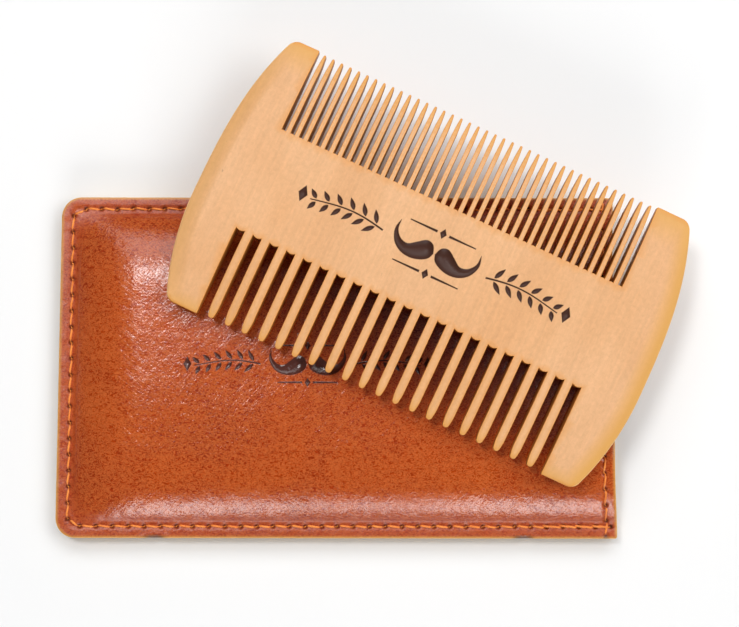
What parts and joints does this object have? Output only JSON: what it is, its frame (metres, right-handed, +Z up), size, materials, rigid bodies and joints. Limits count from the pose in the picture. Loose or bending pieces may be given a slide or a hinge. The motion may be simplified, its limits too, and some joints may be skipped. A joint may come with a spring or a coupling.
{
  "type": "beard comb with sleeve",
  "caption": "Two-sided wooden beard comb with coarse and fine teeth, lying across its open-ended stitched leather sleeve.",
  "frame": {"origin": "centre of the sleeve's underside, where it rests on the table", "axes": "+X along the sleeve towards its open mouth, +Y across the sleeve towards the end that the comb's fine teeth overhang, +Z up"},
  "size_m": [0.138, 0.1081, 0.0174],
  "materials": {
    "comb_wood": "fine-grained pale wood, sanded smooth and lightly waxed",
    "leather": "glossy chestnut leather with a fine pebbled grain",
    "lining": "thin matt brown lining cloth",
    "thread": "waxed orange sewing thread"
  },
  "bodies": {
    "case": {"case_front_panel": "leather", "case_back_panel": "leather", "front_lining": "lining", "back_lining": "lining", "seam_needle_thread": "thread", "seam_bobbin_thread": "thread", "front_mouth_needle_thread": "thread", "front_mouth_bobbin_thread": "thread", "back_mouth_needle_thread": "thread", "back_mouth_bobbin_thread": "thread"},
    "comb": {"comb": "comb_wood"}
  },
  "joints": [
    {"name": "comb_lift", "type": "slide", "parent": "case", "child": "comb", "axis": [0, 0, 1], "range_m": [0, 0.08]}
  ]
}
